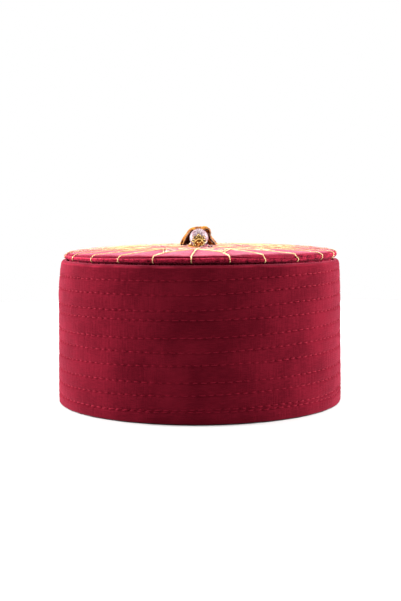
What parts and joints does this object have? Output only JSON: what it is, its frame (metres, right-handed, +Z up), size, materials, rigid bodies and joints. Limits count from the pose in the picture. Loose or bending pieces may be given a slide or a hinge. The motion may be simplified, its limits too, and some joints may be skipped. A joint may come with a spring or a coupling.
{
  "type": "imam hat",
  "caption": "Low cylindrical imam hat with a spirally quilted cotton band, a padded velour crown embroidered in gold, and a short silk tassel with a glass bead.",
  "frame": {"origin": "middle of the rim that the hat stands on, level with the rim", "axes": "+Z up through the crown, -Y to the hat's front, where the bead of the tassel points, +X to the right as seen from the front"},
  "size_m": [0.1921, 0.1922, 0.1193],
  "materials": {
    "quilted_cotton": "polished crimson cotton, softly lustrous, with running stitch",
    "velour": "short-pile crimson velour with gold and silver thread embroidery",
    "silk": "lustrous orange-gold silk floss",
    "pearl_glass": "opaque pearly white glass with a pink and lilac crackle",
    "gilt_metal": "polished gilt filigree"
  },
  "bodies": {
    "root": {"band": "quilted_cotton", "crown": "velour", "tassel_skirt": "silk", "tassel_cord": "silk", "tassel_bead": "pearl_glass", "bead_cap": "gilt_metal"}
  },
  "joints": []
}
